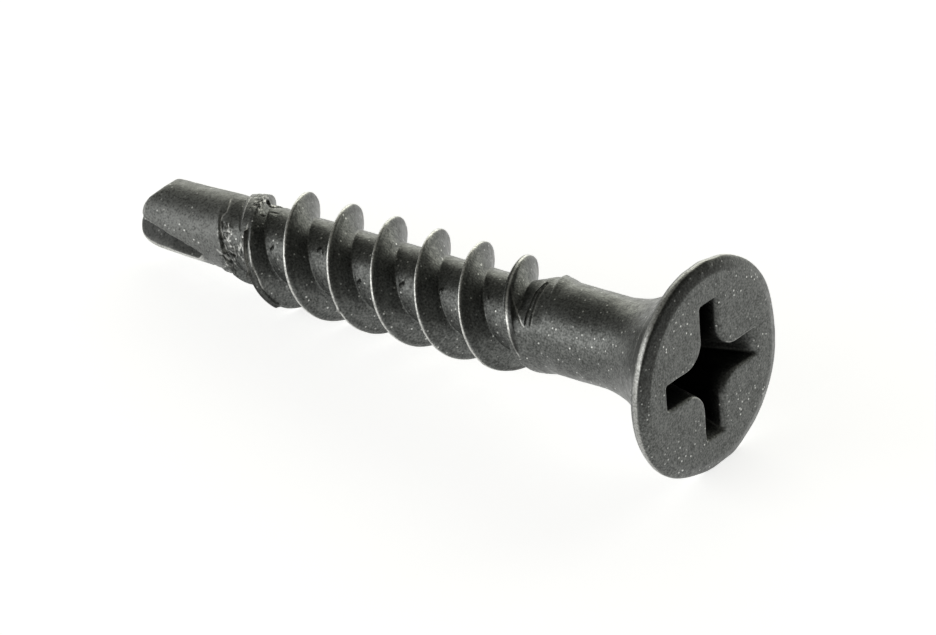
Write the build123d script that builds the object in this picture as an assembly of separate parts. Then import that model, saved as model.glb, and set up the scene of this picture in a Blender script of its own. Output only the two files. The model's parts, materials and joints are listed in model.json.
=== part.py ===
from build123d import *

import os
from math import acos, ceil, cos, radians, sin, sqrt, tan

# Self drilling screw with a bugle head, a cross recess and a twin-start thread.
#
# The screw is modelled upright: its axis is Z, the flat of its head is at Z = 0 and
# its point is below. Depth means the distance below the flat of the head. It is then
# laid down as it comes to rest, on a flattened spot of the rim and a thread crest,
# with the floor at Z = 0.

# Overall sizes, mm
LENGTH = 24.83
HEAD_RADIUS = 4.0
SHANK_RADIUS = 1.62
CREST_RADIUS = 2.1
ROOT_RADIUS = 1.285

# Head
RIM_HEIGHT = 0.55
RIM_ROUND = 0.12
BUGLE_DEPTH = 4.1           # the bugle meets the shank here

# Cross recess
RECESS_REACH = 2.6          # axis to the end of a wing, at the face
RECESS_WING = 1.02          # width of a wing, at the face
RECESS_WEB_ROUND = 0.9      # radius between two wings, at the face
RECESS_DEPTH = 2.9          # depth of the wings' lower corners
RECESS_END_ANGLE = 26.5     # slope of the wings' ends, from the axis
RECESS_SIDE_ANGLE = 4.0     # draft of the wings' sides
RECESS_FLOOR_DEPTH = 3.3    # depth of the floor's middle
RECESS_TURN = -3.4          # degrees about the axis

# Twin-start thread
STARTS = 2
LEAD = 3.84
THREAD_ANGLE = 60.0
CREST_FLAT = 0.10
RIDGE_SINK = 0.30           # how far a ridge is sunk below the root
CREST_DEPTH = 17.723        # depth of a crest at no turn about the axis
SHANK_END = 6.2             # depth where the thread starts to rise from the shank
RUNOUT_DEPTH = 6.95         # the root comes up to the shank here
ROOT_DEPTH = 7.85           # and has its own radius from here
THREAD_END = 20.9
# Outside of the thread, as (radius, depth), between SHANK_END and THREAD_END
THREAD_OUTSIDE = ((2.10, 8.7), (2.08, 18.0), (1.77, 18.9), (1.56, 19.9))

# Drill point
DRILL_BACK_RADIUS = 1.33
DRILL_RADIUS = 1.25
DRILL_TAPER = 0.6           # length over which the root widens to the drill's back
POINT_ANGLE = 140.0
POINT_WEAR = 0.16           # how far the sharp point is worn back to LENGTH
CORNER_RADIUS = 0.90        # the lips' worn corners start here
CORNER_BULGE = (1.15, 24.27)  # pass through this radius and depth
CORNER_DEPTH = 23.70        # and end here
LIP_TURN = 138.6            # direction of one cutting lip, degrees about the axis
# Each land is cut back by planes through the sharp point, as (slope, direction of the fall)
LAND_CUTS = ((48.0, -3.5), (40.0, 66.5), (49.5, 213.5), (40.0, 246.5))
# Flute, as (depth, web radius), from the point to its run-out
FLUTE_WEB = ((25.4, 0.20), (23.6, 0.20), (21.7, 1.02), (20.9, 1.45))
FLUTE_OPENING = 71.0        # angle between the flute's two walls
FLUTE_CORNER = 0.12         # flat across the corner between them

# Rest
RIM_FLAT = 0.22             # how far the rim is flattened where it touches the floor

HUGE = 50.0                 # side of a block that cuts away all beyond a plane


def upright(*points):
    """Turn (radius, depth) pairs into points of the XZ plane."""
    return [(radius, 0, -depth) for radius, depth in points]


def turned(*points):
    """Turn an outline of (radius, depth) pairs about the axis."""
    return revolve(make_face(Polyline(*upright(*points), close=True)), Axis.Z)


def head():
    """Flat face, narrow rim and a bugle whose arc runs tangent into the shank."""
    edge = HEAD_RADIUS - RIM_ROUND
    drop = BUGLE_DEPTH - RIM_HEIGHT
    reach = edge - SHANK_RADIUS
    arc_radius = (drop**2 + reach**2) / (2 * reach)
    half = acos(1 - reach / arc_radius) / 2
    middle = (
        SHANK_RADIUS + arc_radius * (1 - cos(half)),
        BUGLE_DEPTH - arc_radius * sin(half),
    )
    outline = Polyline(
        *upright(
            (SHANK_RADIUS, BUGLE_DEPTH),
            (SHANK_RADIUS, SHANK_END),
            (0, SHANK_END),
            (0, 0),
            (edge, 0),
            (HEAD_RADIUS, RIM_ROUND),
            (HEAD_RADIUS, RIM_HEIGHT - RIM_ROUND),
            (edge, RIM_HEIGHT),
        )
    )
    bugle = ThreePointArc(*upright((edge, RIM_HEIGHT), middle, (SHANK_RADIUS, BUGLE_DEPTH)))
    return revolve(make_face(outline + bugle), Axis.Z)


def recess_section(depth):
    """Outline of the cross recess at a depth."""
    reach = RECESS_REACH - depth * tan(radians(RECESS_END_ANGLE))
    half = RECESS_WING / 2 - depth * tan(radians(RECESS_SIDE_ANGLE))
    web = RECESS_WEB_ROUND * reach / RECESS_REACH
    centre = half + web
    nearest = centre - web / sqrt(2)
    quarter = (
        Line((reach, -half), (reach, half))
        + Line((reach, half), (centre, half))
        + ThreePointArc((centre, half), (nearest, nearest), (half, centre))
        + Line((half, centre), (half, reach))
    )
    outline = Curve() + [Rot(0, 0, 90 * turn) * quarter for turn in range(4)]
    return Pos(0, 0, -depth) * make_face(outline)


def recess():
    """Cross recess: tapered wings, curved webs and a shallow conical floor."""
    wings = loft([recess_section(-RIM_ROUND), recess_section(RECESS_DEPTH)], ruled=True)
    floor_radius = RECESS_REACH - RECESS_DEPTH * tan(radians(RECESS_END_ANGLE))
    floor = turned((0, RECESS_DEPTH), (floor_radius, RECESS_DEPTH), (0, RECESS_FLOOR_DEPTH))
    floor &= extrude(recess_section(RECESS_DEPTH), amount=-1, dir=(0, 0, 1))
    return Rot(0, 0, RECESS_TURN) * (wings + floor)


def ridge_piece():
    """Half a turn of one ridge, whose lower end is at the first crest below the thread."""
    base = ROOT_RADIUS - RIDGE_SINK
    spread = CREST_FLAT / 2 + (CREST_RADIUS - base) * tan(radians(THREAD_ANGLE / 2))
    low = CREST_DEPTH + LEAD
    tooth = Polyline(
        (base, 0, -low - spread),
        (CREST_RADIUS, 0, -low - CREST_FLAT / 2),
        (CREST_RADIUS, 0, -low + CREST_FLAT / 2),
        (base, 0, -low + spread),
        close=True,
    )
    path = Pos(0, 0, -low) * Helix(LEAD, LEAD / 2, CREST_RADIUS)
    return sweep(make_face(tooth), path=path, is_frenet=True)


def thread():
    """Root with both ridges, trimmed on the outside so that the ridges run out."""
    threaded = turned(
        (0, SHANK_END),
        (SHANK_RADIUS, SHANK_END),
        (SHANK_RADIUS, RUNOUT_DEPTH),
        (ROOT_RADIUS, ROOT_DEPTH),
        (ROOT_RADIUS, THREAD_END - DRILL_TAPER),
        (DRILL_BACK_RADIUS, THREAD_END),
        (0, THREAD_END),
    )
    piece = ridge_piece()
    half_turns = ceil((CREST_DEPTH + LEAD - SHANK_END) / (LEAD / 2))
    for start in range(STARTS):
        for half_turn in range(half_turns):
            turn = 180 * half_turn + 360 * start / STARTS
            threaded += Pos(0, 0, half_turn * LEAD / 2) * Rot(0, 0, turn) * piece
    outside = turned(
        (0, SHANK_END),
        (SHANK_RADIUS, SHANK_END),
        *THREAD_OUTSIDE,
        (DRILL_BACK_RADIUS, THREAD_END),
        (0, THREAD_END),
    )
    return threaded & outside


def flute_section(depth, web):
    """Section of a flute: a flat lip wall, a bevelled corner at the web and a rear wall."""
    opening = radians(FLUTE_OPENING)
    far = 2 * DRILL_BACK_RADIUS
    along_lip = (web + FLUTE_CORNER, 0)
    along_rear = (web + FLUTE_CORNER * cos(opening), -FLUTE_CORNER * sin(opening))
    outline = Polyline(
        along_lip,
        (web + far, 0),
        (web + far, -far * sin(opening)),
        (web + far * cos(opening), -far * sin(opening)),
        along_rear,
        close=True,
    )
    return Pos(0, 0, -depth) * make_face(outline)


def drill_point():
    """Two flutes that run out, and a land each side cut back behind its lip."""
    sharp_point = LENGTH + POINT_WEAR
    spread = tan(radians(POINT_ANGLE / 2))
    corner = (CORNER_RADIUS, sharp_point - CORNER_RADIUS / spread)
    outline = Polyline(
        *upright(
            corner,
            (POINT_WEAR * spread, LENGTH),
            (0, LENGTH),
            (0, THREAD_END),
            (DRILL_BACK_RADIUS, THREAD_END),
            (DRILL_RADIUS, CORNER_DEPTH),
        )
    )
    worn_corner = ThreePointArc(*upright((DRILL_RADIUS, CORNER_DEPTH), CORNER_BULGE, corner))
    point = revolve(make_face(outline + worn_corner), Axis.Z)
    flute = loft([flute_section(*station) for station in FLUTE_WEB], ruled=True)
    for turn in (LIP_TURN, LIP_TURN + 180):
        point -= Rot(0, 0, turn) * flute
    beyond = Pos(0, 0, -HUGE / 2) * Box(HUGE, HUGE, HUGE)
    for slope, turn in LAND_CUTS:
        point -= Pos(0, 0, -sharp_point) * Rot(0, 0, turn) * Rot(0, -slope, 0) * beyond
    return point


def outside_radius(depth):
    """Radius of the thread's outside at a depth."""
    stations = ((SHANK_RADIUS, SHANK_END), *THREAD_OUTSIDE, (DRILL_BACK_RADIUS, THREAD_END))
    for (radius, start), (next_radius, end) in zip(stations, stations[1:]):
        if start <= depth <= end:
            return radius + (next_radius - radius) * (depth - start) / (end - start)
    return 0.0


def axis_height(pitch):
    """Height of the axis, at the head's face, over the floor that flattens the rim."""
    return HEAD_RADIUS * cos(pitch) + (RIM_HEIGHT - RIM_ROUND) * sin(pitch) - RIM_FLAT


def crest_clearance(pitch):
    """Height of the lowest point of the crests over the floor."""
    clearance = axis_height(pitch)
    for turn in range(int(360 * THREAD_END / LEAD)):
        depth = CREST_DEPTH + LEAD - turn * LEAD / 360 + CREST_FLAT / 2
        below = abs(outside_radius(depth) * cos(radians(turn))) * cos(pitch) + depth * sin(pitch)
        clearance = min(clearance, axis_height(pitch) - below)
    return clearance


def rest_pitch():
    """Angle at which the screw, head up, rests on its rim and on a crest."""
    low, high = 0.0, radians(20)
    while high - low > 1e-7:
        middle = (low + high) / 2
        if crest_clearance(middle) > 0:
            low = middle
        else:
            high = middle
    return low


def laid_down(screw):
    """Lay the screw on the floor with its head to +X, and flatten its rim there."""
    pitch = rest_pitch()
    lying = Plane(
        origin=(0, 0, axis_height(pitch)),
        x_dir=(-sin(pitch), 0, cos(pitch)),
        z_dir=(cos(pitch), 0, sin(pitch)),
    )
    screw = lying * screw
    screw -= Pos(0, 0, -HUGE / 2) * Box(2 * HEAD_RADIUS, HUGE, HUGE)
    middle = screw.bounding_box().center()
    return Pos(-middle.X, -middle.Y, 0) * screw


def main():
    """Build the screw, lay it down and write it out."""
    os.makedirs("parts", exist_ok=True)
    upright_screw = head() + thread() + drill_point() - recess()
    screw = laid_down(upright_screw)
    export_step(screw, "parts/screw.step")
    return screw


if __name__ == "__main__":
    main()
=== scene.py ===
import json
from math import acos, atan2, ceil, cos, degrees, pi, radians, sin, sqrt, tan

import bmesh
import bpy
from mathutils import Matrix, Vector, kdtree, noise


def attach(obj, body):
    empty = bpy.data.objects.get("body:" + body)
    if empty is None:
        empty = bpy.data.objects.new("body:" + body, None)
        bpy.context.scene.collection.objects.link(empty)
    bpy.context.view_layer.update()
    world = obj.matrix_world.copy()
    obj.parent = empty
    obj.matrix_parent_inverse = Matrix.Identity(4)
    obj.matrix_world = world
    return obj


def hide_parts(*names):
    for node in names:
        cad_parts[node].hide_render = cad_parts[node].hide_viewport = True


# The screw is modelled upright in millimetres: its axis is Z, the flat of its head is at
# Z = 0 and its point is below. Depth is the distance below the flat of the head, and an
# azimuth is in degrees about the axis. It is then laid where the frame's node lies.

MM = 0.001

# Head
HEAD_RADIUS = 4.0
FACE_RADIUS = 3.5           # the flat face ends here
BUGLE_RADIUS = 3.88         # the bugle's arc ends here, below the rim
RIM_DEPTH = 0.55            # and at this depth
BUGLE_DEPTH = 4.1           # the bugle meets the shank here
# (radius, depth) from the rim's lower edge up to the flat face
RIM_COURSE = (
    (3.93, 0.47), (3.97, 0.40), (3.995, 0.32), (HEAD_RADIUS, 0.24), (3.985, 0.19), (3.95, 0.16),
    (3.87, 0.125), (3.79, 0.092), (3.71, 0.06), (3.63, 0.03), (3.57, 0.012), (FACE_RADIUS, 0),
)
# Dents of the rim, as (azimuth, half width, loss of radius)
RIM_DENTS = ((0, 8, 0.03), (165, 38, 0.17), (205, 20, 0.04), (270, 30, 0.09), (345, 8, 0.03))
RIM_WEAR = 0.012            # loss of radius all round
RIM_BRIGHT = 0.5            # bright wear on the rim's side
BEVEL_PAINTED_SHADE = 0.62          # painted shade on the bevel between rim and face, on one side of the head
BEVEL_SHADE_TURN = 30       # azimuth of its middle
BEVEL_SHADE_REACH = (40, 75)  # how far from it the painted shade starts to fade, and ends

# Cross recess
RECESS_REACH = 2.6          # axis to the end of a wing, at the face
RECESS_WING = 1.02          # width of a wing, at the face
RECESS_WEB_ROUND = 0.9      # radius between two wings, at the face
RECESS_DEPTH = 2.9          # depth of the wings' lower corners
RECESS_END_ANGLE = 26.5     # slope of the wings' ends, from the axis
RECESS_SIDE_ANGLE = 4.0     # draft of the wings' sides
RECESS_FLOOR_DEPTH = 3.3
RECESS_TURN = -3.4
# Painted shade down the recess's walls and on its floor
RECESS_PAINTED_SHADE = 0.55
WING_CORNER = 0.12          # rounding of a wing's outer corners
# Shares of a quarter turn at which a wing's end, its corner and its side stop
WING_SHARES = (0.06, 0.13, 0.28)
MOUTH_ROUND = 0.05          # rounding of the recess's mouth
MOUTH_DRAG = 0.15           # more rounding on the side that the punch dragged in
MOUTH_DRAG_TURN = 242       # azimuth of that side
MOUTH_BRIGHT = 0.5          # bright wear on the crisp part of the mouth
MOUTH_PAINTED_SHADE = 0.6           # painted shade on the dragged part of the mouth's rounding
MOUTH_CURLS = (0, 30, 60, 90)  # rows of the mouth's rounding, in degrees from the face
MOUTH_WORN_CURL = 30        # the row that is worn bright

# Shank and twin-start thread
SHANK_RADIUS = 1.62
SHANK_END = 6.2             # depth where the thread starts to rise from the shank
THREAD_END = 20.9           # and where it has died out
CREST_RADIUS = 2.1
ROOT_RADIUS = 1.285
LEAD = 3.84
STARTS = 2
PITCH = LEAD / STARTS
FLANK_SLOPE = tan(radians(60))
CREST_FLAT = 0.07
CREST_ROUND = 0.03
ROOT_FILLET = 0.05
CREST_DEPTH = 17.723        # depth of a crest at azimuth 0
CREST_TURN = (CREST_DEPTH - SHANK_END) * 360 / LEAD  # azimuth of that crest at SHANK_END
# (depth, radius) of the groove's floor and of the crest
ROOT_COURSE = (
    (SHANK_END, SHANK_RADIUS), (6.95, SHANK_RADIUS), (7.85, ROOT_RADIUS), (20.0, ROOT_RADIUS),
    (20.5, 1.325), (THREAD_END, 1.33),
)
CREST_COURSE = (
    (SHANK_END, SHANK_RADIUS), (8.7, CREST_RADIUS), (18.0, 2.08), (18.9, 1.77), (19.9, 1.56),
    (THREAD_END, 1.33),
)
GROOVE_CLOSED = 6.48        # the thread's groove is closed where its middle is at this depth
GROOVE_OPEN = 6.76          # and fully open from this one
# The first rise of the thread is softened between these depths, and between these azimuths
SOFT_RISE_DEPTHS = (6.22, 6.8)
SOFT_RISE_TURNS = (-60, 0)
CREST_BRIGHT_DEPTHS = (7.0, 19.2)  # the crests are worn bright between these depths
CREST_BRIGHT_REACH = (0.02, 0.055)  # how far from a crest's middle the wear fades, and ends
CORNER_PAINTED_SHADE = 0.3          # painted shade in the corner behind a crest
CORNER_SHADE_SPAN = (-0.20, -0.13, -0.12, -0.08)  # from a crest: it starts, is full, fades, ends

# Drill point
LENGTH = 24.80
SHARP_POINT = 24.96         # depth of the point before it was worn back
DRILL_START = 20.3          # the mesh changes from the thread's columns to the drill's here
# (depth, radius) of the drill's body
BODY_COURSE = (
    (DRILL_START, 1.30), (THREAD_END, 1.33), (23.7, 1.25), (24.0, 1.21), (24.27, 1.15),
    (24.48, 1.045), (24.66, 0.90), (LENGTH, 0.44),
)
LIP_TURN = 138.6            # azimuth of one cutting lip
LIP_PAINTED_REFLECTION = 0.9            # painted reflection of the floor along the lips
LIP_REFLECTION_COLUMNS = (2, 5)  # columns from the lip where the painted reflection fades, and ends
FLUTE_OPENING = 71.0        # angle between the flute's two walls
# Painted shade on the flutes' walls
FLUTE_PAINTED_SHADE = 0.55
FLUTE_STEP = 0.008          # skin further in than this is in the flute
# (depth, web radius) of the flutes, from their run-out to the point
FLUTE_WEB = (
    (20.8, 1.45), (21.0, 1.35), (21.2, 1.25), (21.5, 1.10), (21.77, 0.90), (22.18, 0.70),
    (22.62, 0.61), (23.3, 0.41), (23.8, 0.22), (25.4, 0.20),
)
# (depth, turn) of the flutes
FLUTE_LEAN = ((DRILL_START, -28), (21.3, -20), (22.0, -6), (23.1, -5.6), (24.0, 0))
FLUTE_FORMED = (21.25, 21.7)  # depths over which the columns close up on the flute's edges
# Planes that cut the lands back, as (slope, azimuth of the fall, depth where they meet the axis)
LAND_CUTS = (
    (48.0, -3.5, SHARP_POINT), (40.0, 66.5, SHARP_POINT), (49.5, 213.5, SHARP_POINT),
    (40.0, 246.5, SHARP_POINT), (63.2, -33.0, 26.21),
)
LAND_SHARE = 0.62           # share of a half's columns on its land
REAR_SHARE = 0.24           # share of them on the flute's rear wall
# The cut lands' edges are worn round beyond this depth
POINT_WORN_FROM = 23.2
POINT_MERGE = 0.012         # vertices nearer than this are merged first
POINT_FLAT_SIDES = 12       # a face with more sides than this is a cut land
POINT_INSETS = (0.05, 0.06, 0.07)
POINT_EDGE_ANGLE = 12       # an edge sharper than this is worn
POINT_EDGE_RINGS = 3        # rings of vertices beside it that move with it
POINT_ROUNDS = 8

# Mesh
COLUMNS = 160
COLUMN = 360 / COLUMNS
THREAD_ROWS = ((0, SHANK_END), (33, 7.2), (273, 18.5), (333, DRILL_START))
DRILL_ROWS = ((0, DRILL_START), (20, THREAD_END), (76, 24.66), (80, LENGTH))
FACE_ROWS = 14
WALL_ROWS = 14
FLOOR_ROWS = 5
SURFACE_STEP = 0.085
SHARP_ANGLE = 50            # an edge past this angle isn't shaded smooth

SPOT_MOUNT = "drive_recess"


def along(course, depth):
    """Value at a depth on a course of (depth, value) pairs."""
    if depth <= course[0][0]:
        return course[0][1]
    for (start, value), (end, next_value) in zip(course, course[1:]):
        if depth <= end:
            return value + (next_value - value) * (depth - start) / (end - start)
    return course[-1][1]


def blend_over(start, end, value):
    """0 before start, 1 past end, and a smooth rise between."""
    share = min(1.0, max(0.0, (value - start) / (end - start)))
    return share * share * (3 - 2 * share)


def rounded_max(a, b, round_off):
    """The larger of two values, with the corner between them rounded off."""
    gap = max(round_off - abs(a - b), 0.0) / round_off
    return max(a, b) + gap * gap * round_off / 4


def apart(azimuth, other):
    """Angle between two azimuths, 0 to 180."""
    return abs((azimuth - other + 180) % 360 - 180)


def from_crest(azimuth, depth):
    """Distance along the axis from the nearest crest's middle, less than 0 on its head side."""
    behind = (depth - CREST_DEPTH + azimuth * LEAD / 360) % PITCH
    return behind - PITCH if behind > PITCH / 2 else behind


def thread_radius(azimuth, depth):
    """Radius of the threaded part."""
    off = from_crest(azimuth, depth)
    groove = depth - off + (PITCH / 2 if off > 0 else -PITCH / 2)
    crest = along(CREST_COURSE, depth)
    root = along(ROOT_COURSE, depth)
    root += (crest - root) * (1 - blend_over(GROOVE_CLOSED, GROOVE_OPEN, groove))
    flank = CREST_RADIUS - (abs(off) - CREST_FLAT / 2) * FLANK_SLOPE
    outside = -rounded_max(-crest, -flank, CREST_ROUND)
    return rounded_max(outside, root, ROOT_FILLET)


def place(vert, radius, azimuth, depth):
    """Put a vertex at a radius, an azimuth and a depth."""
    turn = radians(azimuth)
    vert.co = (radius * cos(turn), radius * sin(turn), -depth)


def azimuth_of(vert):
    """Azimuth of a vertex, -180 to 180."""
    return degrees(atan2(vert.co.y, vert.co.x))


def thread_tube(bm, turn):
    """A tube whose columns follow the thread's helix. Returns its two end rings."""
    steps = THREAD_ROWS[-1][0]
    length = THREAD_ROWS[-1][1] - SHANK_END
    first = bmesh.ops.create_circle(bm, segments=COLUMNS, radius=SHANK_RADIUS, cap_ends=False)
    bmesh.ops.rotate(bm, verts=first["verts"], matrix=Matrix.Rotation(radians(CREST_TURN), 3, "Z"))
    bmesh.ops.translate(bm, verts=first["verts"], vec=(0, 0, -SHANK_END))
    top = list(bm.edges)
    bottom = bmesh.ops.spin(
        bm, geom=first["verts"] + top, cent=(0, 0, 0), axis=(0, 0, 1),
        dvec=(0, 0, -length / steps), angle=-radians(length * 360 / LEAD), steps=steps,
        use_merge=False,
    )["geom_last"]
    for vert in bm.verts:
        even = -vert.co.z
        depth = along(THREAD_ROWS, (even - SHANK_END) * steps / length)
        vert[turn] = azimuth_of(vert) + (even - depth) * 360 / LEAD
        place(vert, thread_radius(vert[turn], depth), vert[turn], depth)
    return top, [item for item in bottom if isinstance(item, bmesh.types.BMEdge)]


def next_ring(bm, ring):
    """Extrude a ring of edges and return the new ring and its vertices."""
    grown = bmesh.ops.extrude_edge_only(bm, edges=ring)["geom"]
    edges = [item for item in grown if isinstance(item, bmesh.types.BMEdge)]
    verts = [item for item in grown if isinstance(item, bmesh.types.BMVert)]
    new = set(verts)
    return [edge for edge in edges if all(vert in new for vert in edge.verts)], verts


def head_outline():
    """(radius, depth) from the bugle's lower end up and round the rim to the face."""
    drop = BUGLE_DEPTH - RIM_DEPTH
    reach = BUGLE_RADIUS - SHANK_RADIUS
    arc_radius = (drop**2 + reach**2) / (2 * reach)
    whole = acos(1 - reach / arc_radius)
    outline = []
    bugle_rows = ceil(arc_radius * whole / SURFACE_STEP)
    for row in range(1, bugle_rows + 1):
        turn = whole * row / bugle_rows
        radius = SHANK_RADIUS + arc_radius * (1 - cos(turn))
        outline.append((radius, BUGLE_DEPTH - arc_radius * sin(turn)))
    outline += RIM_COURSE
    return outline


def rim_radius(radius, azimuth):
    """Radius near the rim, less what the rim has lost to wear and dents there."""
    loss = RIM_WEAR
    for middle, half_width, dent in RIM_DENTS:
        loss += dent * blend_over(1, 0, apart(azimuth, middle) / half_width)
    return radius - loss * blend_over(3.0, 3.9, radius)


def recess_point(share, depth):
    """Point of the recess's outline at a share of a quarter turn from a wing's middle."""
    mirrored = share > 0.5
    share = 1 - share if mirrored else share
    reach = RECESS_REACH - depth * tan(radians(RECESS_END_ANGLE))
    half = RECESS_WING / 2 - depth * tan(radians(RECESS_SIDE_ANGLE))
    web = RECESS_WEB_ROUND * reach / RECESS_REACH
    centre = half + web
    corner = WING_CORNER * reach / RECESS_REACH
    end, rounded, side = WING_SHARES
    if share <= end:
        point = (reach, (half - corner) * share / end)
    elif share <= rounded:
        turn = radians(90) * (share - end) / (rounded - end)
        point = (reach - corner * (1 - cos(turn)), half - corner * (1 - sin(turn)))
    elif share <= side:
        inward = (share - rounded) / (side - rounded)
        point = (reach - corner + (centre - reach + corner) * inward, half)
    else:
        turn = radians(45) * (share - side) / (0.5 - side)
        point = (centre - web * sin(turn), centre - web * cos(turn))
    return (point[1], point[0]) if mirrored else point


def recess_outline(angle, depth):
    """The recess's outline as a point for each angle about the axis."""
    quarter, within = divmod(angle - RECESS_TURN, 90)
    x, y = recess_point(within / 90, depth)
    return Matrix.Rotation(radians(90 * quarter + RECESS_TURN), 2) @ Vector((x, y))


def recess_side(angle):
    """Direction that the recess's outline faces, away from the recess."""
    run = recess_outline(angle + 1, 0) - recess_outline(angle - 1, 0)
    return Vector((run.y, -run.x)).normalized()


def off_wing_end(angle):
    """0 at the end of a wing, and 1 beside it."""
    return blend_over(0.05, 0.14, abs((angle - RECESS_TURN + 45) % 90 - 45) / 90)


def mouth_round(angle, side):
    """Rounding of the recess's mouth where it faces a direction: crisp at the wings' ends."""
    turn = radians(MOUTH_DRAG_TURN)
    drag = max(0.0, side.dot(Vector((cos(turn), sin(turn)))))
    return MOUTH_ROUND + MOUTH_DRAG * drag * off_wing_end(angle)


def nearest_column(azimuth):
    """Azimuth of the recess's column that is nearest to an azimuth."""
    return round((azimuth - RECESS_TURN) / COLUMN) * COLUMN + RECESS_TURN


def head(bm, ring, turn, wear_and_reflection, painted_shade):
    """Shank, bugle, rim and face, and the recess down to its floor."""
    untwist = (RECESS_TURN - CREST_TURN) % COLUMN
    untwist = untwist - COLUMN if untwist > COLUMN / 2 else untwist
    shank_rows = ceil((SHANK_END - BUGLE_DEPTH) / SURFACE_STEP)
    for row in range(1, shank_rows + 1):
        ring, verts = next_ring(bm, ring)
        depth = SHANK_END + (BUGLE_DEPTH - SHANK_END) * row / shank_rows
        for vert in verts:
            vert[turn] += untwist / shank_rows
            place(vert, SHANK_RADIUS, vert[turn], depth)
    for radius, depth in head_outline():
        ring, verts = next_ring(bm, ring)
        for vert in verts:
            place(vert, rim_radius(radius, vert[turn]), vert[turn], depth)
    sides = {}
    for vert in verts:
        spot = nearest_column(vert[turn])
        sides[round(spot % 360, 2)] = (spot, recess_side(spot))
    # A row is (share of the way in over the face, turn down into the mouth, share down the wall)
    rows = [(row / FACE_ROWS, 0, 0) for row in range(1, FACE_ROWS)]
    rows += [(1, curl, 0) for curl in MOUTH_CURLS]
    rows += [(1, MOUTH_CURLS[-1], row / WALL_ROWS) for row in range(1, WALL_ROWS + 1)]
    for share_in, curl, share_down in rows:
        ring, verts = next_ring(bm, ring)
        for vert in verts:
            spot, side = sides[round(nearest_column(vert[turn]) % 360, 2)]
            rounding = mouth_round(spot, side)
            depth = rounding * (1 - cos(radians(curl)))
            depth += (RECESS_DEPTH - depth) * share_down
            target = recess_outline(spot, depth) + side * rounding * (1 - sin(radians(curl)))
            rim = rim_radius(FACE_RADIUS, vert[turn])
            start = Vector((cos(radians(spot)), sin(radians(spot)))) * rim
            vert.co = start.lerp(target, share_in).to_3d()
            vert.co.z = -depth
            if share_in == 1:
                dragged = (rounding - MOUTH_ROUND) / MOUTH_DRAG
                crisp = blend_over(0.25, 0.05, dragged) * off_wing_end(spot)
                vert[wear_and_reflection] = MOUTH_BRIGHT * (curl == MOUTH_WORN_CURL) * crisp
                # Painted shade on the dragged rounding of the mouth, and down the recess's walls
                vert[painted_shade] = MOUTH_PAINTED_SHADE * dragged * curl / 90
                vert[painted_shade] += RECESS_PAINTED_SHADE * blend_over(0, 0.2, share_down)
    drop = (RECESS_FLOOR_DEPTH - RECESS_DEPTH) / FLOOR_ROWS
    for row in range(1, FLOOR_ROWS):
        ring, verts = next_ring(bm, ring)
        for vert in verts:
            # Painted shade on the recess's floor
            vert[painted_shade] = RECESS_PAINTED_SHADE
        narrower = (FLOOR_ROWS - row) / (FLOOR_ROWS - row + 1)
        bmesh.ops.scale(bm, vec=(narrower, narrower, 1), verts=verts)
        bmesh.ops.translate(bm, vec=(0, 0, -drop), verts=verts)
    middle = bmesh.ops.contextual_create(bm, geom=ring)["faces"]
    bmesh.ops.poke(bm, faces=middle)


def flute_point(share, radius, web):
    """Point of a flute and its land, from one lip (share 0) round to the other (share 1)."""
    opening = radians(FLUTE_OPENING)
    rear_length, heel = 0.0, 0.0
    if web < radius:
        half = web * cos(opening)
        rear_length = sqrt(half**2 - web**2 + radius**2) - half
        heel = degrees(atan2(rear_length * sin(opening), web + rear_length * cos(opening)))
    if share < LAND_SHARE:
        turn = radians((180 - heel) * share / LAND_SHARE)
        return (radius * cos(turn), radius * sin(turn))
    wall_start = LAND_SHARE + REAR_SHARE
    if share < wall_start:
        length = rear_length * (wall_start - share) / REAR_SHARE
        return (-(web + length * cos(opening)), length * sin(opening))
    out = web + (max(radius, web) - web) * (share - wall_start) / (1 - wall_start)
    return (-out, 0.0)


def turned_point(before, radius, web):
    """The same outline at an angle before the flute's lip, for its run-out."""
    opening = radians(FLUTE_OPENING)
    reach = radius
    if before < opening:
        reach = min(radius, web * sin(opening) / sin(opening - before))
    return (-reach * cos(before), reach * sin(before))


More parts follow.
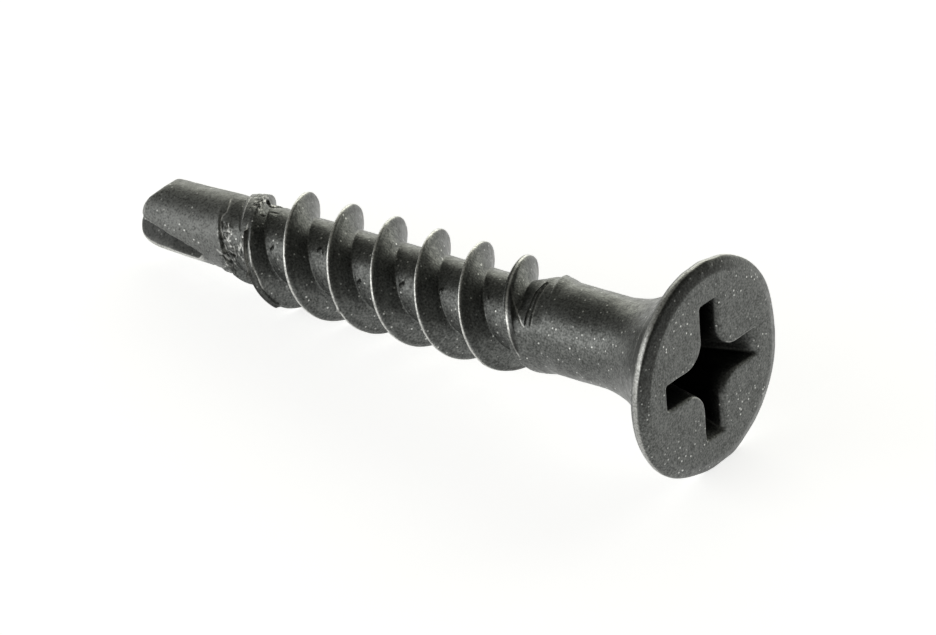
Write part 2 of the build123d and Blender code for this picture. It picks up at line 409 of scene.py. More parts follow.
def drill(bm, ring, turn, wear_and_reflection, painted_shade):
    """Drill body with its flutes, cut back to the point. Returns the vertices of its lips."""
    lips = []
    for vert in dict.fromkeys(vert for edge in ring for vert in edge.verts):
        vert[turn] -= along(FLUTE_LEAN, -vert.co.z)
    for row in range(1, DRILL_ROWS[-1][0] + 1):
        ring, verts = next_ring(bm, ring)
        station = along(DRILL_ROWS, row)
        body = along(BODY_COURSE, station)
        web = along(FLUTE_WEB, station)
        settled = blend_over(*FLUTE_FORMED, station)
        lean = along(FLUTE_LEAN, station)
        for vert in verts:
            index = round((vert[turn] - LIP_TURN) / COLUMN)
            vert[turn] = LIP_TURN + COLUMN * index
            half_turn, within = divmod(index, COLUMNS // 2)
            share = within / (COLUMNS // 2)
            radius = body
            if station < THREAD_END:
                radius = max(body, thread_radius(vert[turn] + lean, station))
            even = pi * (1 - share)
            formed = Vector(flute_point(share, radius, web)) / radius
            spot = Vector((-cos(even), sin(even))).lerp(formed, settled)
            if settled < 1:
                spot = Vector(turned_point(atan2(spot.y, -spot.x), radius, web))
                in_flute = spot.length < radius - FLUTE_STEP
            else:
                spot *= radius
                in_flute = spot.length < radius - FLUTE_STEP or share > LAND_SHARE + 0.02
            spot = Matrix.Rotation(radians(LIP_TURN + lean + 180 * half_turn), 2) @ spot
            vert.co = (spot.x, spot.y, -station)
            # Painted reflection of the floor along the lip
            fade, end = LIP_REFLECTION_COLUMNS
            vert[wear_and_reflection] = LIP_PAINTED_REFLECTION * settled * blend_over(end, fade, within)
            # Painted shade on the flute's walls
            vert[painted_shade] = FLUTE_PAINTED_SHADE * in_flute
            if within == 0 and settled > 0.5:
                lips.append(vert)
    bmesh.ops.contextual_create(bm, geom=ring)
    for slope, fall, meeting in LAND_CUTS:
        steep = Vector((sin(radians(slope)), 0, -cos(radians(slope))))
        cut = bmesh.ops.bisect_plane(
            bm, geom=bm.verts[:] + bm.edges[:] + bm.faces[:], dist=1e-6, plane_co=(0, 0, -meeting),
            plane_no=Matrix.Rotation(radians(fall), 3, "Z") @ steep, clear_outer=True,
        )["geom_cut"]
        edges = [item for item in cut if isinstance(item, bmesh.types.BMEdge)]
        if edges:
            bmesh.ops.edgeloop_fill(bm, edges=edges)
    return [vert for vert in lips if vert.is_valid]


def put_in_order(bm):
    """Order the mesh by place, because the cuts leave it in an order that changes between runs."""
    for rank, vert in enumerate(sorted(bm.verts, key=lambda vert: tuple(vert.co))):
        vert.index = rank
    bm.verts.sort()
    for group in (bm.edges, bm.faces):
        ranked = sorted(group, key=lambda item: sorted(vert.index for vert in item.verts))
        for rank, item in enumerate(ranked):
            item.index = rank
        group.sort()


def soften(bm, verts, rings, rounds):
    """Round off the edges that run through some vertices, with rings of vertices beside them."""
    around = dict.fromkeys(verts)
    for _ in range(rings):
        beside = [edge.other_vert(vert) for vert in around for edge in vert.link_edges]
        around.update(dict.fromkeys(beside))
    for _ in range(rounds):
        bmesh.ops.smooth_vert(
            bm, verts=list(around), factor=0.5, use_axis_x=True, use_axis_y=True, use_axis_z=True,
        )


def worn_point(bm):
    """Round off the edges of the cut lands and of the point."""
    put_in_order(bm)
    tip = [vert for vert in bm.verts if vert.co.z < -POINT_WORN_FROM]
    bmesh.ops.remove_doubles(bm, verts=tip, dist=POINT_MERGE)
    flats = [
        face for face in bm.faces
        if len(face.verts) > POINT_FLAT_SIDES and face.calc_center_median().z < -POINT_WORN_FROM
    ]
    for face in flats:
        for thickness in POINT_INSETS:
            bmesh.ops.inset_region(bm, faces=[face], thickness=thickness, use_even_offset=False)
    sharp = [
        edge for edge in bm.edges
        if edge.is_manifold and edge.calc_face_angle() > radians(POINT_EDGE_ANGLE)
        and min(vert.co.z for vert in edge.verts) < -POINT_WORN_FROM
    ]
    worn = [vert for edge in sharp for vert in edge.verts]
    soften(bm, worn, POINT_EDGE_RINGS, POINT_ROUNDS)


# Marks on the skin. A place is (azimuth, depth) on the body, or (azimuth, depth, radius) on the
# head. A mark is (places, reach, push, wear, painted shade): the skin within reach of the line
# through its places goes out by push, and gets that much bright wear and painted shade, which
# darkens its pits, cracks and grooves.

# Two cracks across the neck where the thread starts, darkened with painted shade
RUNOUT_CRACKS = (
    (((0, 6.831), (10, 6.872), (21, 6.905), (33, 6.866), (44, 6.842), (53, 6.821), (63, 6.783)),
     0.05, -0.07, 0, 1.0),
    (((18, 6.78), (32, 6.739), (42, 6.696), (52, 6.656), (63, 6.602)), 0.045, -0.06, 0, 0.95),
)
# Bright edges of the neck beside the cracks
RUNOUT_SHOULDER = (
    (((4, 6.76), (22, 6.69), (42, 6.625), (62, 6.54)), 0.04, 0.01, 0.6, 0),
    (((13, 6.86), (28, 6.81), (42, 6.77), (52, 6.735), (62, 6.69)), 0.03, 0.01, 0.7, 0),
)
# The lap where the thread's last flank closes on the shank: a band of painted shadow and its
# bright edge
LAP = (
    (((28, 7.76), (40, 7.57), (49, 7.46), (57, 7.30), (64, 7.20), (80, 7.17), (95, 7.08)),
     0.20, 0, 0, 0.8),
    (((26, 7.84), (31, 7.66), (41, 7.475), (49, 7.33), (57, 7.07), (64, 6.888), (66, 6.80)),
     0.045, 0.02, 0.9, 0),
)
# Pale streak on the bugle
NECK_STREAK = (
    (((3, 1.98, 2.26), (14, 1.70, 2.45), (25, 1.55, 2.585), (61, 1.58, 2.56)), 0.12, 0, 0.25, 0),
)
# Seam that the rolling dies left in the last crest, darkened with painted shade, and the thin lips
# beside and beyond it, with painted shade in the groove among them
CREST_SEAM = (
    (((50, 19.10), (61, 19.01), (75, 18.885), (90, 18.71), (96, 18.64)), 0.12, -0.13, 0, 1.0),
    (((95, 18.64), (102, 18.53), (118, 18.355), (140, 18.12)), 0.14, -0.13, 0, 1.0),
)
CREST_LIPS = (
    (((-6, 20.24), (-2, 20.206), (21, 19.969), (35, 19.824), (47, 19.69)), 0.07, 0.05, 1.0, 0),
    (((47, 19.66), (53, 19.45), (58, 19.22)), 0.07, 0.04, 1.0, 0),
    (((58, 19.19), (68.5, 19.12), (77, 19.05), (89, 18.94), (103, 18.82), (116, 18.70),
      (130, 18.56)), 0.07, 0.04, 1.0, 0),
    (((60, 18.87), (70, 18.735), (78, 18.65), (88, 18.535), (99, 18.41), (113, 18.30)),
     0.06, 0.02, 1.0, 0),
    (((-6, 20.11), (21, 19.84), (35, 19.69), (45, 19.56)), 0.06, -0.05, 0, 1.0),
    (((-6, 19.99), (21, 19.72), (35, 19.57)), 0.05, 0.02, 0.8, 0),
)
# Fold round the start of the drill's body, with painted shade in its two creases
FOLD = (
    (((-1.3, 20.82), (18, 20.605), (27, 20.543), (36, 20.605), (43, 20.608), (56, 20.487),
      (67, 20.33)), 0.055, 0.02, 0.9, 0),
    (((45, 20.53), (49, 20.48), (54, 20.43)), 0.05, -0.04, 0, 1.0),
    (((63, 20.33), (68, 20.24)), 0.04, -0.03, 0, 0.9),
)
# Metal that the pinching dies pushed out, torn edges, and burrs on the drill and on top, with
# painted shade in the torn groove and in the cracks beside the top burr
SWOLLEN = ((((5, 20.25), (30, 20.15), (60, 19.95), (100, 19.85)), 0.38, 0.02, 0, 0),)
TORN = (
    (((78, 19.85), (92, 19.80)), 0.12, 0.06, 0.3, 0),
    (((86, 20.5), (90, 20.2), (100, 20.05)), 0.06, 0.04, 0.7, 0),
    (((94, 19.83), (88, 20.05), (93, 20.35)), 0.05, -0.05, 0, 0.9),
)
POINT_BURRS = (
    (((118, 20.2), (150, 20.25), (170, 20.3)), 0.30, 0.12, 0, 0),
    (((135, 20.75), (165, 20.8)), 0.20, 0.14, 0.1, 0),
    (((135, 21.15), (160, 21.2)), 0.12, 0.12, 0.1, 0),
    (((148, 21.27), (152, 21.30)), 0.08, 0.10, 0.2, 0),
)
TOP_BURR = (
    (((-32, 19.0), (-24, 19.10), (-17, 19.22), (-10, 19.34)), 0.15, 0.14, 0.1, 0),
    (((-22, 19.26), (-18, 19.30)), 0.08, 0.06, 0.3, 0),
    (((-9.9, 19.611), (4.1, 19.267)), 0.04, -0.03, 0, 0.8),
    (((0, 18.956), (-0.7, 18.704)), 0.04, -0.03, 0, 0.9),
    (((4, 18.98), (3, 18.72)), 0.04, 0.02, 0.8, 0),
)
# Skin torn into crumbs, as (places, reach), and what roughens it
CRUMBLED = (
    (((56, 20.30), (75, 20.15), (100, 20.05), (125, 20.2), (150, 20.5)), 0.38),
    (((72, 19.65), (85, 19.50), (110, 19.35)), 0.22),
    (((-45, 20.12), (-33, 19.99), (-20, 19.86), (-8, 19.73)), 0.20),
    (((-45, 19.15), (-30, 19.12), (-14, 19.30), (-4, 19.50), (8, 19.35)), 0.28),
    (((10, 19.40), (18, 19.00)), 0.12),
)
CRUMB_SHIFT = (3.1, 0.4, 1.7)
CRUMB_SCALE = (6.5, 15)
CRUMB_HEIGHT = 0.03
# Pits in the groove's floor, nicks in the crests, chips in the head's coat, and lone bright
# grains; painted shade darkens the pits and most nicks and chips
ROOT_PITS = (
    (((42, 16.20), (46, 16.27)), 0.07, -0.07, 0, 1.0),
    (((47, 16.05),), 0.05, -0.05, 0, 0.9),
    (((73, 14.24), (77, 14.31)), 0.07, -0.07, 0, 1.0),
    (((70, 14.45),), 0.05, -0.05, 0, 0.9),
    (((58, 12.40), (62, 12.52)), 0.07, -0.07, 0, 1.0),
    (((56, 12.62),), 0.045, -0.05, 0, 0.9),
    (((49, 10.75), (53, 10.85)), 0.06, -0.06, 0, 1.0),
    (((60, 18.15), (64, 18.22)), 0.06, -0.06, 0, 0.9),
    (((40, 8.85), (44, 8.80)), 0.05, -0.05, 0, 0.8),
)
CREST_NICKS = (
    (((104.8, 14.69),), 0.11, -0.09, 0, 0.7),
    (((108, 14.62),), 0.06, 0.04, 1.0, 0),
    (((62, 17.05),), 0.07, -0.04, 0, 0.3),
    (((20, 9.82),), 0.07, -0.04, 0, 0.3),
)
HEAD_CHIPS = (
    (((0, 0.05, 3.74),), 0.15, -0.03, 0, 0.7),
    (((352, 0.06, 3.80),), 0.10, -0.03, 0, 0.7),
    (((9, 0.10, 3.86),), 0.08, -0.04, 0, 0.6),
    (((6, 0.36, 3.97),), 0.08, -0.03, 0, 0.7),
    (((344, 0.13, 3.90),), 0.07, -0.03, 0, 0.6),
    (((35, 0.18, 3.97),), 0.05, 0.01, 0.9, 0),
    (((254, 0.20, 3.97), (264, 0.20, 3.97)), 0.06, -0.03, 1.0, 0),
)
GRAINS = (
    (((28, 23.51),), 0.05, 0.01, 1.0, 0),
    (((51, 23.13),), 0.05, 0.01, 1.0, 0),
    (((49.5, 18.86),), 0.05, 0.01, 1.0, 0),
    (((32, 17.34),), 0.06, 0.01, 1.0, 0),
    (((20, 19.48),), 0.06, 0.02, 1.0, 0),
    (((17, 19.06),), 0.05, 0.02, 1.0, 0),
)
SMALL_MARKS = ROOT_PITS + CREST_NICKS + HEAD_CHIPS + GRAINS + RUNOUT_CRACKS + RUNOUT_SHOULDER
SMALL_MARKS += LAP + NECK_STREAK + TOP_BURR + TORN + CREST_LIPS + CREST_SEAM + FOLD
LINE_STEP = 0.03            # spacing of the points along a mark
MM_PER_DEGREE = 0.035       # run of a mark about the axis, about that on a crest

# Unevenness of the forged and rolled skin, as (scale, height), and how far it sinks in all
UNEVEN = ((1.3, 0.012), (4.5, 0.005))
UNEVEN_SINK = 0.016


def skin_radius(azimuth, depth):
    """Radius of the body before it is marked."""
    body = along(BODY_COURSE, depth) if depth > BODY_COURSE[0][0] else 0.0
    thread = thread_radius(azimuth, depth) if SHANK_END < depth < THREAD_END else 0.0
    return max(body, thread) or SHANK_RADIUS


def mark_line(places):
    """Closely spaced points on the skin, through some places."""
    line = []
    ends = list(zip(places, places[1:])) or [(places[0], places[0])]
    for start, end in ends:
        run = abs(end[0] - start[0]) * MM_PER_DEGREE + abs(end[1] - start[1])
        steps = ceil(run / LINE_STEP) + 1
        for step in range(steps + 1):
            azimuth, depth = (start[k] + (end[k] - start[k]) * step / steps for k in (0, 1))
            radius = start[2] if len(start) > 2 else skin_radius(azimuth, depth)
            turn = radians(azimuth)
            line.append(Vector((radius * cos(turn), radius * sin(turn), -depth)))
    return line


def nearest_to(tree, places, reach):
    """Distance from the line through some places, for each vertex within reach of it."""
    near = {}
    for point in mark_line(places):
        for _, index, distance in tree.find_range(point, reach):
            near[index] = min(distance, near.get(index, reach))
    return near


def tree_of(bm):
    """A search tree of the skin's vertices."""
    bm.verts.ensure_lookup_table()
    tree = kdtree.KDTree(len(bm.verts))
    for index, vert in enumerate(bm.verts):
        tree.insert(vert.co, index)
    tree.balance()
    return tree


def refine(bm, marks):
    """Halve the mesh where small marks come."""
    tree = tree_of(bm)
    inside = {}
    for places, reach, *_ in marks:
        inside.update(nearest_to(tree, places, reach))
    edges = dict.fromkeys(edge for index in inside for edge in bm.verts[index].link_edges)
    bmesh.ops.subdivide_edges(bm, edges=list(edges), cuts=1, use_grid_fill=True)


def apply_marks(bm, marks, wear_and_reflection, painted_shade):
    """Push the skin in and out at the marks, and note their wear and painted shade."""
    bm.normal_update()
    tree = tree_of(bm)
    moves = {}
    for places, reach, push, bright, shaded in marks:
        for index, distance in nearest_to(tree, places, reach).items():
            strength = blend_over(1, 0, distance / reach)
            vert = bm.verts[index]
            moves[index] = moves.get(index, 0.0) + push * strength
            vert[wear_and_reflection] = max(vert[wear_and_reflection], bright * strength)
            # Painted shade in the mark's pit, crack or groove
            vert[painted_shade] = max(vert[painted_shade], shaded * strength)
    for index, move in moves.items():
        bm.verts[index].co += bm.verts[index].normal * move


def crumble(bm, wear_and_reflection, painted_shade):
    """Roughen the torn skin into bright crumbs, with painted shade in the hollows between."""
    bm.normal_update()
    tree = tree_of(bm)
    for places, reach in CRUMBLED:
        for index, distance in nearest_to(tree, places, reach).items():
            vert = bm.verts[index]
            strength = blend_over(1, 0.5, distance / reach)
            spot = vert.co + Vector(CRUMB_SHIFT)
            coarse, fine = (noise.noise(spot * scale) for scale in CRUMB_SCALE)
            lump = coarse + 0.7 * fine
            vert.co += vert.normal * CRUMB_HEIGHT * lump * strength
            vert[wear_and_reflection] = max(vert[wear_and_reflection], min(1.0, 1.8 * strength * max(0.0, lump - 0.12)))
            # Painted shade in the hollows between the crumbs
            vert[painted_shade] = max(vert[painted_shade], min(1.0, 0.9 * strength * max(0.0, -lump - 0.25)))


def systematic_wear_and_shade(bm, wear_and_reflection, painted_shade):
    """Bright wear on the crests and rim, and painted shade behind the crests and on one side of
    the bevel.
    """
    fade, end = CREST_BRIGHT_REACH
    starts, full, fades, ends = CORNER_SHADE_SPAN
    near, far = BEVEL_SHADE_REACH
    for vert in bm.verts:
        depth, radius = -vert.co.z, sqrt(vert.co.x**2 + vert.co.y**2)
        azimuth = azimuth_of(vert)
        if CREST_BRIGHT_DEPTHS[0] < depth < CREST_BRIGHT_DEPTHS[1]:
            off = from_crest(azimuth, depth)
            height = blend_over(0.05, 0.3, radius - along(ROOT_COURSE, depth))
            behind = blend_over(starts, full, off) * blend_over(ends, fades, off)
            vert[wear_and_reflection] = height * blend_over(end, fade, abs(off))
            # Painted shade in the corner behind the crest
            vert[painted_shade] = CORNER_PAINTED_SHADE * height * behind
        elif radius > FACE_RADIUS and depth < RIM_DEPTH:
            side = blend_over(0.18, 0.24, depth)
            bevel = (1 - side) * blend_over(FACE_RADIUS, FACE_RADIUS + 0.07, radius)
            toward = blend_over(far, near, apart(azimuth, BEVEL_SHADE_TURN))
            # Painted shade on one side of the bevel
            vert[painted_shade] = BEVEL_PAINTED_SHADE * bevel * toward
            vert[wear_and_reflection] = RIM_BRIGHT * side * blend_over(0.46, 0.38, depth)


def uneven(bm):
    """Slight unevenness of the forged and rolled surface."""
    bm.normal_update()
    for vert in bm.verts:
        lift = sum(noise.noise(vert.co * scale) * height for scale, height in UNEVEN)
        vert.co += vert.normal * (lift - UNEVEN_SINK)


def lying_matrix():
    """Placement of the upright screw where the frame's node lies."""
    mount = next(item for item in frame["record"]["mounts"] if item["name"] == SPOT_MOUNT)
    axis = Vector(mount["axis"])
    up = Vector((-axis.z, 0, axis.x))
    side = axis.cross(up)
    turn = Matrix((up, side, axis)).transposed().to_4x4()
    return Matrix.Translation(mount["pos_m"]) @ turn @ Matrix.Scale(MM, 4)


def on_soft_rise(vert):
    """True where the first rise of the thread is softened."""
    (start, end), (low, high) = SOFT_RISE_DEPTHS, SOFT_RISE_TURNS
    return start < -vert.co.z < end and low < azimuth_of(vert) < high


def screw():
    """The whole screw as one closed skin."""
    bm = bmesh.new()
    turn = bm.verts.layers.float.new("turn")
    # Bright wear on crests, rim and edges, and the painted reflection along the drill's lips
    wear_and_reflection = bm.verts.layers.float.new("wear_and_reflection")
    # Painted shade: how far each vertex is darkened towards near black in pits, cracks, creases,
    # the recess and the flutes
    painted_shade = bm.verts.layers.float.new("painted_shade")
    top, bottom = thread_tube(bm, turn)
    head(bm, top, turn, wear_and_reflection, painted_shade)
    lips = drill(bm, bottom, turn, wear_and_reflection, painted_shade)
    soften(bm, lips, rings=1, rounds=2)
    worn_point(bm)
    soften(bm, [vert for vert in bm.verts if on_soft_rise(vert)], rings=1, rounds=5)
    bmesh.ops.recalc_face_normals(bm, faces=bm.faces)
    systematic_wear_and_shade(bm, wear_and_reflection, painted_shade)
    refine(bm, SMALL_MARKS + CRUMBLED)
    uneven(bm)
    apply_marks(bm, SWOLLEN + POINT_BURRS, wear_and_reflection, painted_shade)
    crumble(bm, wear_and_reflection, painted_shade)
    apply_marks(bm, SMALL_MARKS, wear_and_reflection, painted_shade)
    bm.verts.layers.float.remove(turn)
    bm.transform(lying_matrix())
    for vert in bm.verts:
        vert.co.z = max(vert.co.z, 0.0)  # nothing reaches below the floor
    mesh = bpy.data.meshes.new("screw_skin")
    bm.to_mesh(mesh)
    bm.free()
    mesh.shade_smooth()
    mesh.set_sharp_from_angle(angle=radians(SHARP_ANGLE))
    piece = bpy.data.objects.new("screw_skin", mesh)
    bpy.context.collection.objects.link(piece)
    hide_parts("screw")
    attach(piece, "root")
    return piece


class Nodes:
    """Short hand for a material's nodes."""

    def __init__(self, material):
        material.use_nodes = True
        self.nodes = material.node_tree.nodes
        self.links = material.node_tree.links
        self.shader = self.nodes["Principled BSDF"]

    def feed(self, socket, value):
        """Give a socket a value, or link it to another socket."""
        if isinstance(value, bpy.types.NodeSocket):
            self.links.new(value, socket)
        else:
            socket.default_value = value

    def math(self, operation, a, b=0.0, clamp=False):
        """Result of a sum, difference or product."""
        node = self.nodes.new("ShaderNodeMath")
        node.operation = operation
        node.use_clamp = clamp
        self.feed(node.inputs[0], a)
        self.feed(node.inputs[1], b)
        return node.outputs["Value"]

    def noise(self, place, scale, detail):
        """Noise pattern at a scale."""
        node = self.nodes.new("ShaderNodeTexNoise")
        node.inputs["Scale"].default_value = scale
        node.inputs["Detail"].default_value = detail
        self.links.new(place, node.inputs["Vector"])
        return node.outputs["Fac"]

    def span(self, value, low, high, to_low, to_high):
        """A value spread from one range on to another."""
        node = self.nodes.new("ShaderNodeMapRange")
        node.inputs["From Min"].default_value = low
        node.inputs["From Max"].default_value = high
        node.inputs["To Min"].default_value = to_low
        node.inputs["To Max"].default_value = to_high
        self.links.new(value, node.inputs["Value"])
        return node.outputs["Result"]

    def blend(self, share, first, second):
        """The first colour, with a share of the second."""
        node = self.nodes.new("ShaderNodeMix")
        node.data_type = "RGBA"
        self.feed(node.inputs["Factor"], share)
        self.feed(node.inputs["A"], first)
        self.feed(node.inputs["B"], second)
        return node.outputs["Result"]

    def attribute(self, name):
        """A value that the piece's vertices carry."""
        node = self.nodes.new("ShaderNodeAttribute")
        node.attribute_name = name
        return node.outputs["Fac"]


# Phosphate coat. Its patterns have this many features in a metre
SPECKLE_SCALE = 13000
MOTTLE_SCALE = 3600
CLOUD_SCALE = 700
GRAIN_SHARES = (0.74, 0.16, 0.10)  # shares of speckle, mottle and cloud in the coat's grain
CRYSTAL_SCALE = 4500
COAT_COLOUR = (0.114, 0.118, 0.113, 1)
COAT_DARK = (0.056, 0.058, 0.055, 1)
COAT_PALE = (0.185, 0.19, 0.182, 1)
# Bare steel of worn edges, also used for the painted reflection along the drill's lips
BARE_EDGE_AND_REFLECTION = (0.70, 0.70, 0.67, 1)
CRYSTAL = (0.66, 0.67, 0.64, 1)
DRILL_COAT = (0.20, 0.205, 0.197, 1)
# Near black that is mixed in as painted shade
PAINTED_SHADE_COLOUR = (0.012, 0.012, 0.011, 1)
DRILL_COAT_SPAN = (-7.4, -8.8)  # mm along X over which the coat changes to the drill's
COAT_ROUGHNESS = (0.45, 0.32)
RUBBED_GLOSS = 0.08         # less roughness where the coat is rubbed off
DRILL_DULLNESS = 0.08       # more roughness on the drill
COAT_METALLIC = (0.91, 0.62)  # on the screw, and on its drill
COAT_BUMP = 0.012           # height of the grain, mm
COAT_BUMP_STRENGTH = 0.6


def phosphate():
    """Matte dark grey phosphate coat on steel, speckled and worn on edges, with a painted
    reflection along the drill's lips and painted shade in crevices.
    """
    material = bpy.data.materials.new("phosphate_steel_coat")
    tree = Nodes(material)
    place = tree.nodes.new("ShaderNodeTexCoord").outputs["Object"]
    speckle = tree.noise(place, SPECKLE_SCALE, 1.5)
    mottle = tree.noise(place, MOTTLE_SCALE, 2)
    cloud = tree.noise(place, CLOUD_SCALE, 2)
    patterns = zip((speckle, mottle, cloud), GRAIN_SHARES)
    parts = [tree.math("MULTIPLY", pattern, share) for pattern, share in patterns]
    grain = tree.math("ADD", tree.math("ADD", parts[0], parts[1]), parts[2])
    colour = tree.blend(tree.span(grain, 0.34, 0.5, 0, 1), COAT_DARK, COAT_COLOUR)
    colour = tree.blend(tree.span(grain, 0.5, 0.68, 0, 1), colour, COAT_PALE)

    along_screw = tree.nodes.new("ShaderNodeSeparateXYZ")
    tree.links.new(place, along_screw.inputs["Vector"])
    coat_ends, drill_starts = DRILL_COAT_SPAN
    on_drill = tree.span(along_screw.outputs["X"], coat_ends * MM, drill_starts * MM, 0, 1)
    drill_share = tree.math("MULTIPLY", on_drill, tree.span(grain, 0.34, 0.62, 0.1, 0.95))
    colour = tree.blend(drill_share, colour, DRILL_COAT)

    crystals = tree.nodes.new("ShaderNodeTexVoronoi")
    crystals.inputs["Scale"].default_value = CRYSTAL_SCALE
    tree.links.new(place, crystals.inputs["Vector"])
    chosen = tree.nodes.new("ShaderNodeSeparateColor")
    tree.links.new(crystals.outputs["Color"], chosen.inputs["Color"])
    spark = tree.math(
        "MULTIPLY", tree.span(crystals.outputs["Distance"], 0.20, 0.10, 0, 1),
        tree.span(chosen.outputs["Red"], 0.3, 0.85, 0, 1),
    )
    colour = tree.blend(spark, colour, CRYSTAL)

    patchy = tree.span(speckle, 0.3, 0.6, 0.45, 1.0)
    # Worn bare edges, and the painted reflection along the drill's lips
    rubbed_and_reflection = tree.math("MULTIPLY", tree.attribute("wear_and_reflection"), patchy, True)
    colour = tree.blend(rubbed_and_reflection, colour, BARE_EDGE_AND_REFLECTION)
    # Painted shade: darkened towards near black where the vertices carry it
    colour = tree.blend(tree.attribute("painted_shade"), colour, PAINTED_SHADE_COLOUR)
    tree.feed(tree.shader.inputs["Base Color"], colour)

    rough = tree.span(mottle, 0.3, 0.7, *COAT_ROUGHNESS)
    rough = tree.math("SUBTRACT", rough, tree.math("MULTIPLY", rubbed_and_reflection, RUBBED_GLOSS))
    rough = tree.math("ADD", rough, tree.math("MULTIPLY", on_drill, DRILL_DULLNESS))
    tree.feed(tree.shader.inputs["Roughness"], rough)
    tree.feed(tree.shader.inputs["Metallic"], tree.span(on_drill, 0, 1, *COAT_METALLIC))
    bump = tree.nodes.new("ShaderNodeBump")
    bump.inputs["Strength"].default_value = COAT_BUMP_STRENGTH
    bump.inputs["Distance"].default_value = COAT_BUMP * MM
    tree.feed(bump.inputs["Height"], grain)
    tree.feed(tree.shader.inputs["Normal"], bump.outputs["Normal"])
    return material


# Camera, set for a frame of 936 x 635 pixels
FRAME_WIDTH = 936
FRAME_HEIGHT = 635
CAMERA_TURN = 37.60
CAMERA_RISE = 32.986
CAMERA_ROLL = -1.330
CAMERA_DISTANCE = 450.0     # mm
PIXELS_PER_MM = 28.7745     # at the point that it looks at
LOOK_AT = (0.0, 0.0, 2.9)   # mm
LOOK_AT_PIXEL = (428.23, 280.81)


def camera():
    """The camera, with LOOK_AT at its pixel of the frame."""
    turn, rise, roll = (radians(value) for value in (CAMERA_TURN, CAMERA_RISE, CAMERA_ROLL))
    right = Vector((cos(turn), sin(turn), 0))
    back = Vector((sin(turn) * cos(rise), -cos(turn) * cos(rise), sin(rise)))
    up = back.cross(right)
    right, up = right * cos(roll) + up * sin(roll), up * cos(roll) - right * sin(roll)
    aim = Vector(LOOK_AT)
    aim += right * (FRAME_WIDTH / 2 - LOOK_AT_PIXEL[0]) / PIXELS_PER_MM
    aim += up * (LOOK_AT_PIXEL[1] - FRAME_HEIGHT / 2) / PIXELS_PER_MM
    data = bpy.data.cameras.new("camera")
    data.lens = PIXELS_PER_MM * CAMERA_DISTANCE / FRAME_WIDTH * data.sensor_width
    data.clip_start = 0.01
    data.clip_end = 20
    item = bpy.data.objects.new("camera", data)
    facing = Matrix((right, up, back)).transposed().to_4x4()
    item.matrix_world = Matrix.Translation((aim + back * CAMERA_DISTANCE) * MM) @ facing
    bpy.context.collection.objects.link(item)
    bpy.context.scene.camera = item


# Studio, in metres
SWEEP = ((0, 0), (0.6, 0), (0.67, 0.01), (0.72, 0.03), (0.76, 0.07))  # (radius, height)
SWEEP_STEPS = 64
PAPER = (0.9, 0.9, 0.9, 1)
PAPER_ROUGHNESS = 0.9
FLOOR_GLOW = 0.72
CEILING = 0.16
CEILING_COLOUR = (1, 1, 0.9, 1)
SOFTBOX_DISTANCE = 0.56
SOFTBOX_HEIGHT = 0.35
SOFTBOX_RADIANCE = 1.8
# (name, azimuth, width, colour)
SOFTBOXES = (("back_softbox", 108, 1.33, (1, 1, 0.9)), ("front_softbox", 235, 0.91, (1, 1, 1)))


def softbox(name, azimuth, width, colour):
    """A softbox that stands on the floor and faces the object."""
    data = bpy.data.lights.new(name, "AREA")
    data.shape = "RECTANGLE"
    data.size, data.size_y = width, SOFTBOX_HEIGHT
    data.energy = pi * SOFTBOX_RADIANCE * width * SOFTBOX_HEIGHT
    data.color = colour
    item = bpy.data.objects.new(name, data)
    turn = radians(azimuth)
    item.location = (
        SOFTBOX_DISTANCE * cos(turn), SOFTBOX_DISTANCE * sin(turn), SOFTBOX_HEIGHT / 2,
    )
    item.rotation_euler = (radians(90), 0, turn + radians(90))
    item.visible_camera = False
    bpy.context.collection.objects.link(item)


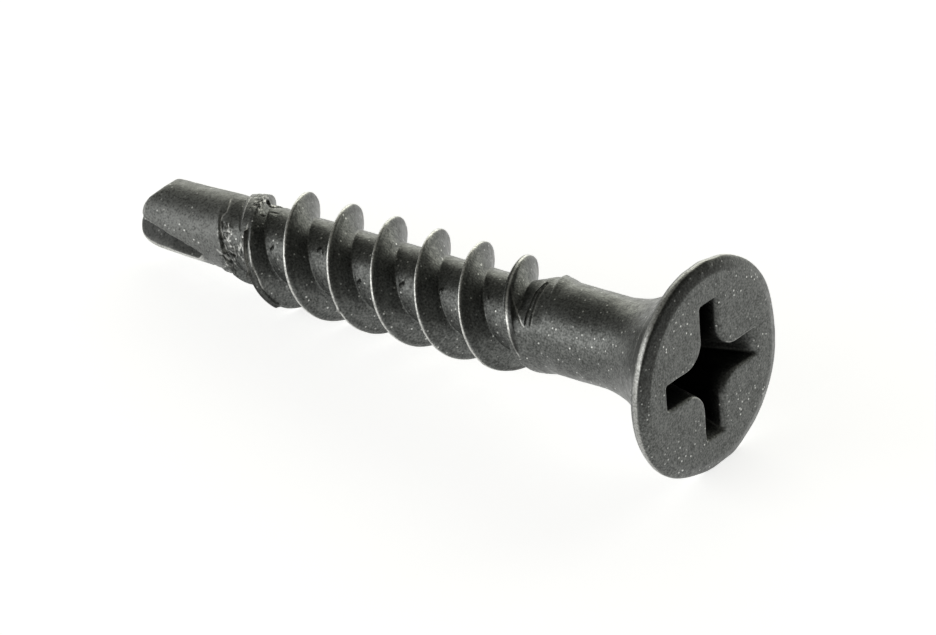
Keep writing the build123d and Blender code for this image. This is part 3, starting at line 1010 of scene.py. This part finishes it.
def floor_paper():
    """Pale paper that the camera, reflections and transmission see as white."""
    material = bpy.data.materials.new("floor_paper")
    tree = Nodes(material)
    material.cycles.emission_sampling = "NONE"
    tree.feed(tree.shader.inputs["Base Color"], PAPER)
    tree.feed(tree.shader.inputs["Roughness"], PAPER_ROUGHNESS)
    tree.feed(tree.shader.inputs["Specular IOR Level"], 0.0)
    tree.feed(tree.shader.inputs["Emission Color"], (1, 1, 1, 1))
    path = tree.nodes.new("ShaderNodeLightPath").outputs
    seen = tree.math("ADD", path["Is Camera Ray"], path["Is Glossy Ray"])
    seen = tree.math("ADD", seen, path["Is Transmission Ray"])
    glow = tree.math("MULTIPLY", seen, FLOOR_GLOW, True)
    tree.feed(tree.shader.inputs["Emission Strength"], glow)
    return material


def stage():
    """A round sheet of pale paper whose edge is swept up, a dim ceiling and two softboxes."""
    bm = bmesh.new()
    edge = [bm.verts.new((radius, 0, height)) for radius, height in SWEEP]
    for start, end in zip(edge, edge[1:]):
        bm.edges.new((start, end))
    bmesh.ops.spin(
        bm, geom=bm.verts[:] + bm.edges[:], cent=(0, 0, 0), axis=(0, 0, 1), dvec=(0, 0, 0),
        angle=radians(360), steps=SWEEP_STEPS, use_merge=True,
    )
    bmesh.ops.remove_doubles(bm, verts=bm.verts, dist=1e-5)
    bmesh.ops.recalc_face_normals(bm, faces=bm.faces)
    mesh = bpy.data.meshes.new("floor")
    bm.to_mesh(mesh)
    bm.free()
    mesh.shade_smooth()
    floor = bpy.data.objects.new("floor", mesh)
    bpy.context.collection.objects.link(floor)
    floor.data.materials.append(floor_paper())
    world = bpy.data.worlds.new("studio")
    bpy.context.scene.world = world
    world.use_nodes = True
    ceiling = world.node_tree.nodes["Background"].inputs
    ceiling["Color"].default_value = CEILING_COLOUR
    ceiling["Strength"].default_value = CEILING
    for values in SOFTBOXES:
        softbox(*values)


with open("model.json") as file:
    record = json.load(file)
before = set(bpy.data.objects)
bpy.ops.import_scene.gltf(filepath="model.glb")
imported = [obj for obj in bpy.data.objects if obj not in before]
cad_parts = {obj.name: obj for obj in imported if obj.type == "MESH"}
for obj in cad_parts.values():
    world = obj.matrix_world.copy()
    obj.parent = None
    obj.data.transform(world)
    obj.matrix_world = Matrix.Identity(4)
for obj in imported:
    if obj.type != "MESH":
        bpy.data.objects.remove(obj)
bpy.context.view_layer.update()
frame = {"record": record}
camera()
piece = screw()
piece.data.materials.append(phosphate())
stage()
bpy.context.scene.view_settings.view_transform = "Standard"
